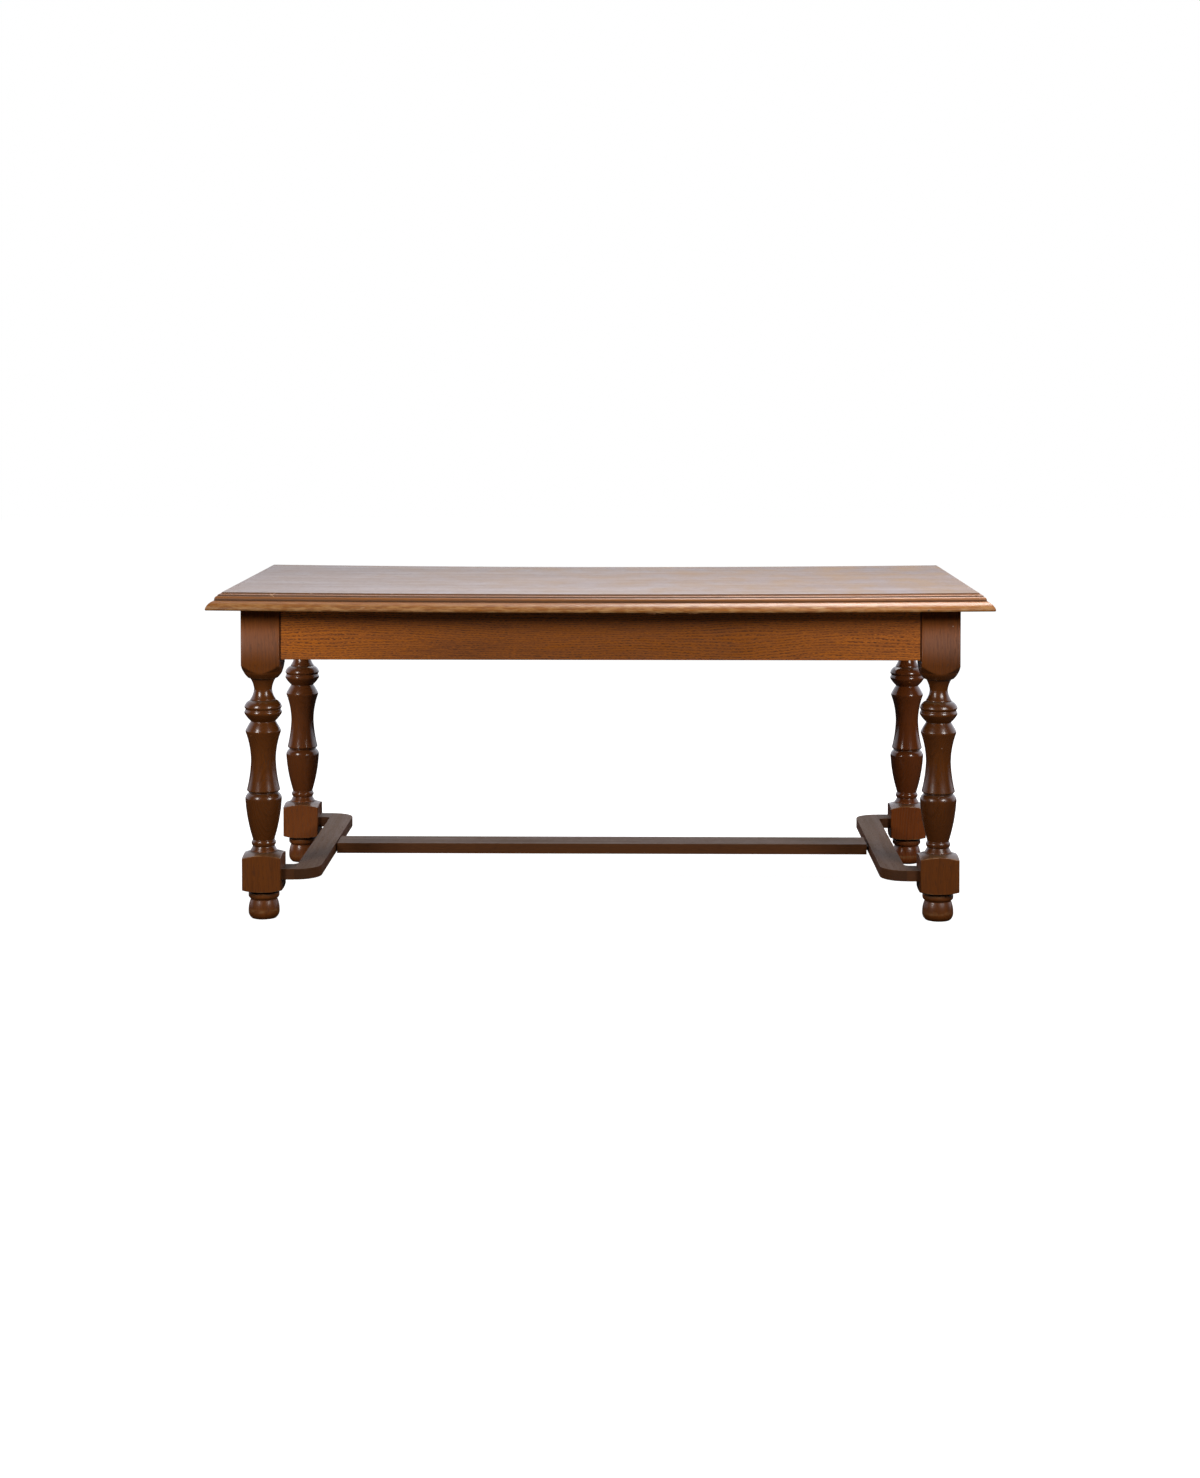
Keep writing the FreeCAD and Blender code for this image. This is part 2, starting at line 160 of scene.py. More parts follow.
def add(tree, kind, inputs=(), **settings):
    """A shader node with its settings and inputs; inputs are given by name or number."""
    made = tree.nodes.new("ShaderNode" + kind)
    for name, value in settings.items():
        setattr(made, name, value)
    for key, value in dict(inputs).items():
        link(tree, made.inputs[key], value)
    return made


def reckon(tree, operation, *values, clamp=False):
    """A sum worked out at every point."""
    made = add(tree, "Math", dict(enumerate(values)), operation=operation, use_clamp=clamp)
    return made.outputs[0]


def scaled(tree, value, low, high, to_low=0.0, to_high=1.0):
    """A number carried from one range to another and kept inside it."""
    made = add(tree, "MapRange", {"Value": value, "From Min": low, "From Max": high,
                                  "To Min": to_low, "To Max": to_high})
    return made.outputs["Result"]


def blended(tree, share, first, second):
    """Two colours blended by a share; a Mix node takes colours at its inputs 6 and 7."""
    made = add(tree, "Mix", data_type="RGBA")
    link(tree, made.inputs[0], share)
    link(tree, made.inputs[6], first)
    link(tree, made.inputs[7], second)
    return made.outputs[2]


def part_of(tree, vector, axis):
    """One coordinate of a vector."""
    return add(tree, "SeparateXYZ", {0: vector}).outputs[axis]


def own_place(tree):
    """The place of a point in its piece."""
    return add(tree, "TexCoord").outputs["Object"]


def carried_number(tree, name):
    """A number that the mesh keeps at every point."""
    return add(tree, "Attribute", attribute_name=name).outputs["Fac"]


def noise(tree, place, stretch, offset=(0.0, 0.0, 0.0), detail=2.0, roughness=0.5):
    """Noise whose grains have the size 1 / stretch along each axis."""
    shifted = add(tree, "Mapping", {"Vector": place, "Scale": stretch, "Location": offset})
    made = add(tree, "TexNoise", {"Vector": shifted.outputs[0], "Scale": 1.0, "Detail": detail,
                                  "Roughness": roughness})
    return made.outputs["Fac"]


def swayed(tree, grains, amount, base):
    """A number pushed either way by noise."""
    return reckon(tree, "MULTIPLY_ADD", reckon(tree, "SUBTRACT", grains, 0.5), amount, base)


def grain_place(tree, along, pith):
    """The place in the wood, turned so that X runs with the grain and the pith is at YZ zero."""
    split = add(tree, "SeparateXYZ", {0: own_place(tree)}).outputs
    across = [axis for axis in range(3) if axis != along]
    u = reckon(tree, "SUBTRACT", split[across[0]], pith[0])
    v = reckon(tree, "SUBTRACT", split[across[1]], pith[1])
    return add(tree, "CombineXYZ", {0: split[along], 1: u, 2: v}).outputs[0]


def grown_place(tree, place, wander, ripple, seed):
    """Place along the grain, out from the pith and round it, bent the way that a trunk grows."""
    first, second, third = (seed * spread for spread in SEED_SPREAD)
    bend_u = noise(tree, place, TRUNK_BEND, (first, second, third), detail=1.0, roughness=0.4)
    bend_v = noise(tree, place, TRUNK_BEND, (second, third, first), detail=1.0, roughness=0.4)
    wave = noise(tree, place, TRUNK_WAVE, (third, first, second), detail=1.0, roughness=0.4)
    split = add(tree, "SeparateXYZ", {0: place}).outputs
    u = swayed(tree, bend_u, wander, split[1])
    v = swayed(tree, bend_v, wander, split[2])
    radius = reckon(tree, "SQRT", reckon(tree, "ADD", reckon(tree, "MULTIPLY", u, u),
                                         reckon(tree, "MULTIPLY", v, v)))
    radius = swayed(tree, wave, ripple, radius)
    turn = reckon(tree, "MULTIPLY", reckon(tree, "ARCTAN2", v, u), ROUND_THE_PITH_SHARE)
    return add(tree, "CombineXYZ", {0: split[0], 1: radius, 2: turn}).outputs[0]


def year_rings(tree, grown, ring_width):
    """How far across its ring a point lies, and how much dark late wood the ring has there."""
    rings = reckon(tree, "DIVIDE", part_of(tree, grown, 1), ring_width)
    across = reckon(tree, "FRACT", rings)
    late_wood = reckon(tree, "MULTIPLY", scaled(tree, across, *LATE_WOOD_START),
                       scaled(tree, across, *LATE_WOOD_END))
    number = reckon(tree, "FLOOR", rings)
    strength = add(tree, "TexWhiteNoise", {"W": number}, noise_dimensions="1D").outputs["Value"]
    strength = scaled(tree, strength, 0.0, 1.0, FAINTEST_RING, 1.0)
    return across, reckon(tree, "MULTIPLY", late_wood, strength)


def pore_strokes(tree, grown, across, size, edge, rows, seed):
    """Short strokes along the grain, most of them in the early wood that opens each ring."""
    grains = noise(tree, grown, (size[0], size[1], size[1] / 2), (seed, *PORE_SEED), detail=1.0)
    return reckon(tree, "MULTIPLY", scaled(tree, grains, *edge), scaled(tree, across, *rows, 1.0))


def paler_along(tree, paler, run, start, end, amount):
    """Wood painted paler over a stretch of its run: as painted light at the aprons' ends, as a paler finish
    along the edge's lower band.
    """
    return reckon(tree, "ADD", scaled(tree, run, start, end, 0.0, amount), paler)


def aged(tree, colour, place, patch, relief, raw, rubbed, wear_size, grime_and_shade, dust, seed):
    """Grime and painted shade in the hollows, polish rubbed off the high places, and dust on what faces
    upwards.
    """
    colour = blended(tree, scaled(tree, relief, *GRIME_AND_SHADE_RELIEF, 0.0, grime_and_shade), colour, GRIME_AND_SHADE_COLOUR)
    wear = noise(tree, place, (*wear_size, wear_size[1]), (seed, *WEAR_SEED), detail=5.0, roughness=0.6)
    worn = reckon(tree, "MULTIPLY", scaled(tree, relief, *WORN_RELIEF), scaled(tree, wear, *WEAR_PATCHES))
    colour = blended(tree, reckon(tree, "MULTIPLY", worn, WORN_SHARE), colour, rubbed)
    upwards = part_of(tree, add(tree, "TexCoord").outputs["Normal"], 2)
    dusty = reckon(tree, "MULTIPLY", scaled(tree, upwards, *DUST_FACING), scaled(tree, patch, *DUST_PATCHES))
    colour = blended(tree, reckon(tree, "MULTIPLY", dusty, dust), colour, DUST_COLOUR)
    return blended(tree, reckon(tree, "MULTIPLY", raw, RAW_SHARE), colour, rubbed)


def marked(tree, colour, centre, reach, turn, mark_colour):
    """A long or round mark at a place on a piece, fading to nothing at its rim."""
    moved = add(tree, "VectorMath", {0: own_place(tree), 1: centre}, operation="SUBTRACT").outputs[0]
    turned = add(tree, "VectorRotate", {"Vector": moved, "Angle": math.radians(turn)}, rotation_type="Y_AXIS")
    sized = add(tree, "VectorMath", {0: turned.outputs[0], 1: reach}, operation="DIVIDE").outputs[0]
    length = add(tree, "VectorMath", {0: sized}, operation="LENGTH").outputs["Value"]
    share = reckon(tree, "MULTIPLY", scaled(tree, length, 1.0, MARK_CORE_SHARE), MARK_SHARE)
    return blended(tree, share, colour, (*mark_colour, 1.0))


def wood(name, along, pith, pale, dark, ring_width=0.004, ring_depth=0.5, wander=0.02, ripple=0.003,
         pores=0.3, pore_size=(70.0, 1100.0), pore_edge=(0.56, 0.66), pore_rows=(0.75, 0.35, 0.3),
         fibres=0.3, patchiness=0.25, streaks=0.0, streak_size=(1.6, 55.0), end_grain=0.4,
         shine=0.35, coat=0.0, polish_index=1.48, relief_bump=0.2, bare=None, wear_size=(1.6, 55.0),
         grime_and_shade=0.6, dust=0.0, lit_ends=None, faded_run=None, marks=(), haze=None, seed=0.0):
    """Polished wood: rings, pores and fibres run with the grain through the whole piece."""
    made = bpy.data.materials.new(name)
    tree = cleared_tree(made)
    place = grain_place(tree, along, pith)
    grown = grown_place(tree, place, wander, ripple, seed)
    across, late_wood = year_rings(tree, grown, ring_width)
    pore = pore_strokes(tree, grown, across, pore_size, pore_edge, pore_rows, seed)
    fibre = noise(tree, grown, FIBRE_GRAIN, (seed, *FIBRE_SEED), detail=3.0, roughness=0.6)
    patch = noise(tree, place, PATCH_GRAIN, (seed, *PATCH_SEED))
    streak = noise(tree, grown, (*streak_size, streak_size[1]), (seed, *STREAK_SEED), detail=3.0,
                   roughness=0.65)
    paleness_and_light = carried_number(tree, "paleness_and_light")
    relief = carried_number(tree, "relief")
    raw = scaled(tree, relief, *RAW_RELIEF)

    tone = reckon(tree, "MULTIPLY", late_wood, ring_depth)
    tone = reckon(tree, "MULTIPLY_ADD", scaled(tree, fibre, *FIBRE_SPREAD, *EITHER_WAY), fibres, tone)
    tone = reckon(tree, "MULTIPLY_ADD", scaled(tree, patch, *PATCH_SPREAD, *EITHER_WAY), patchiness, tone)
    tone = reckon(tree, "MULTIPLY_ADD", scaled(tree, streak, *PATCH_SPREAD, *EITHER_WAY), streaks, tone,
                  clamp=True)
    paler = reckon(tree, "ADD", paleness_and_light, 1.0)
    # Painted light: paler towards both ends, where the side lamps light the aprons more.
    if lit_ends:
        paler = paler_along(tree, paler, reckon(tree, "ABSOLUTE", part_of(tree, place, 0)), *lit_ends)
    if faded_run:
        paler = paler_along(tree, paler, part_of(tree, place, 0), *faded_run)
    facing = part_of(tree, add(tree, "TexCoord").outputs["Normal"], along)
    cut_across = reckon(tree, "MULTIPLY", reckon(tree, "MULTIPLY", facing, facing), -end_grain)
    paler = reckon(tree, "MULTIPLY_ADD", cut_across, paler, paler)

    colour = blended(tree, tone, (*pale, 1.0), (*dark, 1.0))
    colour = add(tree, "VectorMath", {0: colour, "Scale": paler}, operation="SCALE").outputs[0]
    pore_colour = (*(PORE_DARKNESS * part for part in dark), 1.0)
    colour = blended(tree, reckon(tree, "MULTIPLY", pore, pores), colour, pore_colour)
    rubbed = (*(bare or (RUBBED_PALER * part for part in pale)), 1.0)
    colour = aged(tree, colour, place, patch, relief, raw, rubbed, wear_size, grime_and_shade, dust, seed)
    for mark in marks:
        colour = marked(tree, colour, *mark)

    rough = scaled(tree, patch, *PATCH_SPREAD, shine + PATCH_MATTING[0], shine + PATCH_MATTING[1])
    for share, matting in ((scaled(tree, streak, *STREAK_EDGE), streaks * STREAK_MATTING),
                           (pore, PORE_MATTING),
                           (scaled(tree, paleness_and_light, 0.0, FULL_PALENESS), PALE_MATTING),
                           (scaled(tree, relief, *GRIME_AND_SHADE_RELIEF), grime_and_shade * GRIME_MATTING),
                           (raw, RAW_MATTING)):
        rough = reckon(tree, "MULTIPLY_ADD", share, matting, rough)
    if haze:
        colour, rough = haze(tree, place, colour, rough)

    height = reckon(tree, "MULTIPLY_ADD", fibre, FIBRE_HEIGHT_SHARE, reckon(tree, "MULTIPLY", pore, -1.0))
    bump = add(tree, "Bump", {"Height": height, "Strength": relief_bump, "Distance": PORE_DEPTH}).outputs[0]
    skin = reckon(tree, "MULTIPLY", scaled(tree, paleness_and_light, 0.0, FULL_PALENESS, 1.0, 0.0), coat)
    surface = add(tree, "BsdfPrincipled", {"Base Color": colour, "Roughness": rough, "Normal": bump,
                                           "IOR": polish_index, "Coat Weight": skin,
                                           "Coat Roughness": COAT_ROUGHNESS})
    add(tree, "OutputMaterial", {0: surface.outputs[0]})
    return made


def piece_from(name, points, faces, smooth=True):
    """A piece in the scene from its points and from faces that look outwards."""
    mesh = bpy.data.meshes.new(name)
    mesh.from_pydata(points, [], faces)
    mesh.validate()
    mesh.polygons.foreach_set("use_smooth", [smooth] * len(mesh.polygons))
    piece = bpy.data.objects.new(name, mesh)
    bpy.context.scene.collection.objects.link(piece)
    return piece


def skinned(name, rows):
    """A closed skin over rows of points, each a loop that runs anticlockwise seen from the last row."""
    count = len(rows[0])
    points = [point for row in rows for point in row]
    faces = []
    for row in range(len(rows) - 1):
        for column in range(count):
            after = (column + 1) % count
            faces.append((row * count + column, row * count + after,
                          (row + 1) * count + after, (row + 1) * count + column))
    faces.append(tuple(range(count - 1, -1, -1)))
    last = (len(rows) - 1) * count
    faces.append(tuple(range(last, last + count)))
    return piece_from(name, points, faces)


def keep_number(piece, name, values):
    """Keeps a number at every point of a piece, for its wood to read."""
    attribute = piece.data.attributes.new(name, "FLOAT", "POINT")
    attribute.data.foreach_set("value", values)


def finish(piece, node, material):
    """Dresses a piece and puts it in the place of its plain solid."""
    piece.data.materials.append(material)
    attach(piece, "root")
    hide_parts(node)


def lathe_radius(node, corner):
    """Heights up a leg and its radius at each, felt from outside over the corner without a mortise."""
    low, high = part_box(node)
    middle = (low + high) / 2
    tree = BVHTree.FromObject(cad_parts[node], bpy.context.evaluated_depsgraph_get())
    outwards = Vector((corner[0], corner[1], 0.0)).normalized()
    reach = (high - low).x
    count = int((high.z - low.z) / LEG_SAMPLE_STEP)
    heights = low.z + (numpy.arange(count) + 0.5) * (high.z - low.z) / count
    radii = numpy.zeros(count)
    for i, z in enumerate(heights):
        start = Vector((middle.x, middle.y, z)) + outwards * reach
        radii[i] = reach - tree.ray_cast(start, -outwards)[3]
    return heights, radii


def kept_rows(heights, radii, tolerance):
    """The few samples that carry an outline to within a tolerance."""
    keep = {0, len(heights) - 1}
    spans = [(0, len(heights) - 1)]
    while spans:
        first, last = spans.pop()
        if last - first < 2:
            continue
        inside = numpy.arange(first + 1, last)
        share = (heights[inside] - heights[first]) / (heights[last] - heights[first])
        off = numpy.abs(radii[inside] - radii[first] - share * (radii[last] - radii[first]))
        worst = int(numpy.argmax(off))
        if off[worst] > tolerance:
            middle = first + 1 + worst
            keep.add(middle)
            spans += [(first, middle), (middle, last)]
    return keep


def blurred(values, reach):
    """A row of numbers smoothed over a reach to each side."""
    kernel = numpy.hanning(2 * reach + 1)
    kernel = kernel / kernel.sum()
    padded = numpy.pad(values, reach, mode="edge")
    return numpy.convolve(padded, kernel, mode="valid")


def leg_outline(node, corner, half):
    """Heights of a leg, its softened radius at each, and the rows that its skin needs."""
    heights, radii = lathe_radius(node, corner)
    reach = int(LEG_SOFTENING / LEG_SAMPLE_STEP)
    softened = blurred(radii, reach)
    softened[:reach] = radii[:reach]
    softened[-reach:] = radii[-reach:]
    keep = kept_rows(heights, softened, LEG_OUTLINE_TOLERANCE)
    least, most = (half * share for share in ROUNDING_OVER_SHARES)
    rounded_over = (softened > least) & (softened < most)
    every = int(LEG_ROW_STEP / LEG_SAMPLE_STEP)
    keep |= {int(i) for i in numpy.flatnonzero(rounded_over) if i % every == 0}
    return heights, softened, sorted(keep)


def leg_angles():
    """Bearings round a leg, closer together at the corners of its blocks."""
    corner_start = math.pi / 4 - CORNER_HALF_ANGLE
    flat = [i / FLAT_COLUMNS * corner_start for i in range(FLAT_COLUMNS)]
    corner = [corner_start + i / CORNER_COLUMNS * 2 * CORNER_HALF_ANGLE for i in range(CORNER_COLUMNS + 1)]
    quarter = flat + corner + [math.pi / 2 - angle for angle in flat[:0:-1]]
    return [angle + turn * math.pi / 2 for turn in range(4) for angle in quarter]


def block_radius(angle, half, corner_round):
    """Distance from the middle of a square block to its face, or to its rounded corner."""
    turned = abs((angle + math.pi / 4) % (math.pi / 2) - math.pi / 4)
    flat = half / math.cos(turned)
    if flat * math.sin(turned) <= half - corner_round:
        return flat
    centre = (half - corner_round) * math.sqrt(2)
    aside = centre * math.sin(math.pi / 4 - turned)
    return centre * math.cos(math.pi / 4 - turned) + math.sqrt(corner_round ** 2 - aside ** 2)


def eased_min(first, second, ease):
    """The smaller of two lengths, with the arris between them rubbed off."""
    near = numpy.maximum(ease - numpy.abs(first - second), 0.0) / ease
    return numpy.minimum(first, second) - near * near * ease / 4


def leg_paleness_and_light(z):
    """The blocks are painted paler than the turnings and the lower vase darker; the head of the upper block
    is painted paler still, as painted light against the shade that the top casts on it.
    """
    if z > UPPER_BLOCK_HEIGHT:
        lit_head = max(0.0, min(1.0, (z - HEAD_LIGHT_HEIGHT) / HEAD_LIGHT_REACH))
        return UPPER_BLOCK_PALENESS + HEAD_PAINTED_LIGHT * lit_head
    if VASE_LOW < z < VASE_HIGH:
        return VASE_PALENESS
    return LOWER_BLOCK_PALENESS if z < VASE_LOW else 0.0


def foot_wear(z):
    """Brooms and shoes have rubbed the swell of the foot."""
    return max(0.0, 1.0 - abs(z - FOOT_SWELL) / FOOT_WEAR_REACH)


def turned_leg(node, corner, material):
    """One leg: the turned outline, cut by the flats of its square blocks."""
    low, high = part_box(node)
    middle = (low + high) / 2
    half = (high.x - low.x) / 2
    heights, radii, kept = leg_outline(node, corner, half)
    reach = int(LEG_GRIME_REACH / LEG_SAMPLE_STEP)
    columns = []
    for angle in leg_angles():
        whole = eased_min(radii, block_radius(angle, half, LEG_CORNER_ROUND), LEG_EASE)
        hollow = (blurred(whole, reach) - whole) / LEG_GRIME_DEPTH
        columns.append((math.cos(angle), math.sin(angle), whole[kept], hollow[kept]))
    row_heights = heights[kept]
    row_heights[0] = low.z
    row_heights[-1] = high.z
    rows = []
    relief = []
    paleness_and_light = []
    for row, z in enumerate(row_heights):
        rows.append([(middle.x + radius[row] * x, middle.y + radius[row] * y, z)
                     for x, y, radius, hollow in columns])
        relief += [hollow[row] - foot_wear(z) for x, y, radius, hollow in columns]
        paleness_and_light += [leg_paleness_and_light(z)] * len(columns)
    piece = skinned("turned_" + node, rows)
    keep_number(piece, "relief", numpy.clip(relief, -1.0, 1.0))
    keep_number(piece, "paleness_and_light", paleness_and_light)
    finish(piece, node, material)


# Pale wood, dark wood and roughness of each leg, then its nicks: place, reach, turn in degrees, colour.
LEG_TONES_AND_LIGHT = {
    "leg_front_left": ((0.157, 0.043, 0.0055), (0.053, 0.0135, 0.0014), 0.23),
    "leg_front_right": ((0.135, 0.035, 0.003), (0.047, 0.0115, 0.0008), 0.25),
    # Painted light: the back legs are painted paler, to make up for the weaker light that reaches them.
    "leg_back_left": ((0.24, 0.068, 0.016), (0.085, 0.024, 0.005), 0.19),
    "leg_back_right": ((0.195, 0.048, 0.0095), (0.066, 0.0155, 0.0028), 0.14),
}
LEG_BARE = (0.34, 0.16, 0.06)
LEG_PITH_ASIDE = (0.06, 0.08)
LEG_SEEDS = (3.1, 1.3)
NICK = (0.42, 0.27, 0.2)
LEG_NICKS = {
    "leg_front_left": (((-0.812, -0.362, 0.431), (0.0022, 0.012, 0.0018), 20.0, (0.4, 0.16, 0.05)),),
    "leg_front_right": (((0.815, -0.372, 0.69), (0.002, 0.006, 0.002), 0.0, NICK),
                        ((0.766, -0.352, 0.442), (0.005, 0.012, 0.0022), 0.0, NICK),
                        ((0.792, -0.366, 0.405), (0.0028, 0.012, 0.0022), 10.0, NICK),
                        ((0.812, -0.347, 0.274), (0.003, 0.012, 0.004), 0.0, (0.35, 0.17, 0.07))),
    "leg_back_left": (),
    "leg_back_right": (((0.79, 0.29, 0.475), (0.003, 0.012, 0.002), 0.0, (0.55, 0.2, 0.05)),),
}
for side, x_sign in SIDES:
    for face, y_sign in FACES:
        node = "leg_%s_%s" % (face, side)
        low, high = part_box(node)
        pale, dark, shine = LEG_TONES_AND_LIGHT[node]
        pith = ((low.x + high.x) / 2 + LEG_PITH_ASIDE[0] * x_sign, (low.y + high.y) / 2 + LEG_PITH_ASIDE[1])
        material = wood(node + "_polish", 2, pith, pale, dark, ring_width=0.0042, ring_depth=0.4,
                        wander=0.03, pores=0.4, pore_size=(60.0, 1700.0), pore_edge=(0.5, 0.62),
                        pore_rows=(0.6, 0.3, 0.15), fibres=0.35, patchiness=0.45, shine=shine, coat=0.4,
                        relief_bump=0.05, bare=LEG_BARE, wear_size=(150.0, 60.0), dust=0.3,
                        marks=LEG_NICKS[node], seed=x_sign * LEG_SEEDS[0] + y_sign * LEG_SEEDS[1])
        turned_leg(node, (x_sign, y_sign), material)


# Aprons. Four deep boards of open-grained oak set on edge between the legs, tenoned into them and
# polished orange-brown. Their pores show as short dark strokes along the grain.
APRON_EASE = 0.0008
EASE_SEGMENTS = 3
EASE_ANGLE = math.radians(35)
ONE_FACE_ANGLE = math.radians(0.5)
WELD_REACH = 0.00001
# Painted light on the aprons: start, end and gain of the paling towards their ends, where the side lamps
# reach them.
APRON_LIT_ENDS = (0.3, 0.75, 0.72)
APRON_PALE = (0.35, 0.094, 0.0038)
APRON_DARK = (0.11, 0.023, 0.0006)
APRON_PITH_ASIDE = 0.12
APRON_PITH_HEIGHT = 0.3
LONG_APRON_SEED = 4.0
END_APRON_SEED = 9.0
# Painted shadow: a dark strip on the apron beside each leg, which stands proud of it.
SEAM_SHADOW = (0.016, 0.004, 0.0015)
SEAM_HEIGHT = 0.67
SEAM_WIDTH = 0.0042
SEAM_DEPTH = 0.02
SEAM_LENGTH = 0.2


def ease_edges(piece, width):
    """Rubs the sharp edges of a flat-sided piece down to a small round."""
    weld = piece.modifiers.new("one skin", "WELD")
    weld.merge_threshold = WELD_REACH
    flatten = piece.modifiers.new("whole faces", "DECIMATE")
    flatten.decimate_type = "DISSOLVE"
    flatten.angle_limit = ONE_FACE_ANGLE
    ease = piece.modifiers.new("eased edges", "BEVEL")
    ease.width = width
    ease.segments = EASE_SEGMENTS
    ease.limit_method = "ANGLE"
    ease.angle_limit = EASE_ANGLE
    ease.harden_normals = False
    piece.data.polygons.foreach_set("use_smooth", [True] * len(piece.data.polygons))
    normals = piece.modifiers.new("flat faces", "WEIGHTED_NORMAL")
    normals.keep_sharp = False


def polish(node, material, ease):
    """Finishes a piece of the frame as it stands."""
    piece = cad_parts[node]
    piece.data.materials.clear()
    piece.data.materials.append(material)
    ease_edges(piece, ease)


def apron(node, along, sign, leg, seed):
    """One apron, with a painted shadow at each end where it meets a leg, which stands proud of it."""
    low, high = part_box(node)
    across = 1 - along
    seams = []
    for end in (-1, 1):
        place = [0.0, 0.0, SEAM_HEIGHT]
        place[along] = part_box(leg)[0][along] * end
        place[across] = high[across] if sign > 0 else low[across]
        reach = [SEAM_DEPTH, SEAM_DEPTH, SEAM_LENGTH]
        reach[along] = SEAM_WIDTH
        seams.append((place, reach, 0.0, SEAM_SHADOW))
    pith = ((low[across] + high[across]) / 2 + APRON_PITH_ASIDE * sign, APRON_PITH_HEIGHT)
    material = wood(node + "_oak", along, pith, APRON_PALE, APRON_DARK, ring_width=0.0048, ring_depth=0.3,
                    wander=0.06, ripple=0.0035, pores=0.85, pore_size=(150.0, 1500.0), pore_edge=(0.42, 0.58),
                    pore_rows=(0.75, 0.25, 0.1), fibres=0.4, patchiness=0.45, streaks=0.5,
                    streak_size=(16.0, 240.0), shine=0.44, relief_bump=0.15, lit_ends=APRON_LIT_ENDS,
                    marks=seams, seed=seed)
    polish(node, material, APRON_EASE)


for face, y_sign in FACES:
    apron("apron_" + face, 0, y_sign, "leg_%s_right" % face, LONG_APRON_SEED + y_sign)
for side, x_sign in SIDES:
    apron("apron_" + side, 1, x_sign, "leg_back_" + side, END_APRON_SEED + x_sign)


# Cross rails, blocks, battens and tongues. Bare wood that never sees polish: two rails laid flat
# between the long aprons, small blocks glued inside them, battens glued under the rim of the top, and
# loose tongues in the joints of its boards.
BARE_PALE = (0.42, 0.29, 0.17)
BARE_DARK = (0.25, 0.16, 0.085)
BATTEN_PITH = (0.3, 0.2)
CROSS_PITH = (0.4, 0.3)
bare_wood = wood("bare_wood", 0, BATTEN_PITH, BARE_PALE, BARE_DARK, ring_width=0.005, ring_depth=0.4,
                 pores=0.3, shine=0.7, seed=21.0)
bare_wood_across = wood("bare_wood_across", 1, CROSS_PITH, BARE_PALE, BARE_DARK, ring_width=0.005,
                        ring_depth=0.4, pores=0.3, shine=0.7, seed=23.0)
for side, x_sign in SIDES:
    polish("cross_rail_" + side, bare_wood_across, APRON_EASE)
    polish("fixing_block_" + side, bare_wood_across, APRON_EASE)
    polish("build_up_" + side, bare_wood_across, APRON_EASE)
    polish("build_up_cross_" + side, bare_wood_across, APRON_EASE)
for face, y_sign in FACES:
    polish("build_up_" + face, bare_wood, APRON_EASE)
    for number in range(1, 4):
        polish("fixing_block_%s_%d" % (face, number), bare_wood, APRON_EASE)
for number in range(1, 5):
    polish("top_tongue_%d" % number, bare_wood, APRON_EASE)


# Stretcher. Flat bars of the legs' wood: a bar with rounded corners across each end, short arms
# from it into the legs' lower blocks, and one long bar between the two ends.
STRETCHER_EASE = 0.0011
ARM_EASE = 0.0003
STRETCHER_PALE = (0.128, 0.038, 0.004)
STRETCHER_DARK = (0.046, 0.0132, 0.0013)
ARM_PALE = (0.1, 0.029, 0.003)
ARM_DARK = (0.036, 0.01, 0.001)
END_BAR_PITH = (0.66, 0.04)
ARM_PITH = (0.3, 0.05)
CENTRE_BAR_PITH = (0.03, 0.02)
END_BAR_SEED = 31.0
ARM_SEED = 35.0
CENTRE_BAR_SEED = 41.0


def stretcher_wood(name, along, pith, seed, pale=STRETCHER_PALE, dark=STRETCHER_DARK):
    """The legs' wood with a duller polish, dusty on top."""
    return wood(name, along, pith, pale, dark, ring_width=0.0036, ring_depth=0.5, wander=0.03, pores=0.3,
                pore_size=(60.0, 1500.0), pore_edge=(0.5, 0.62), fibres=0.25, streaks=0.2, end_grain=0.45,
                shine=0.58, polish_index=1.42, dust=0.3, seed=seed)


for side, x_sign in SIDES:
    pith = (x_sign * END_BAR_PITH[0], END_BAR_PITH[1])
    material = stretcher_wood("end_bar_" + side, 1, pith, END_BAR_SEED + x_sign)
    polish("end_stretcher_" + side, material, STRETCHER_EASE)
    for face, y_sign in FACES:
        node = "stretcher_arm_%s_%s" % (face, side)
        pith = (y_sign * ARM_PITH[0], ARM_PITH[1])
        seed = ARM_SEED + x_sign * 2 + y_sign
        polish(node, stretcher_wood(node + "_stain", 0, pith, seed, ARM_PALE, ARM_DARK), ARM_EASE)
material = stretcher_wood("centre_bar", 0, CENTRE_BAR_PITH, CENTRE_BAR_SEED)
polish("centre_stretcher", material, STRETCHER_EASE)


# Boards of the top. Five oak boards jointed edge to edge and polished as one, which have sunk a few
# millimetres in the middle of their length, the back ones more than the front ones. The old polish
# has gone cloudy, and more so to the right.
BOARD_STATIONS = 96
BOARD_COLUMNS = 14
BOARD_EDGE_ROUND = 0.00002
BOARD_CRISP = math.radians(15)
UNPOLISHED = -2.0
SINK_FRONT = 0.0045
SINK_BACK = 0.006
BOARD_TONES = ((0.155, 0.08, 0.052), (0.13, 0.06, 0.031), (0.13, 0.06, 0.03), (0.11, 0.05, 0.025),
               (0.1, 0.047, 0.024))
BOARD_DARK_SHARE = 0.45
BOARD_SHINE = (0.36, 0.38, 0.4, 0.41, 0.42)
BOARD_BARE = (0.3, 0.2, 0.115)
BOARD_PITH_ASIDE = 0.02
BOARD_PITH_HEIGHT = 0.7
BOARD_SEED = 51.0
HAZE_COLOUR = (0.21, 0.115, 0.045, 1.0)
HAZE_GRAIN = (11.0, 7.0, 8.0)
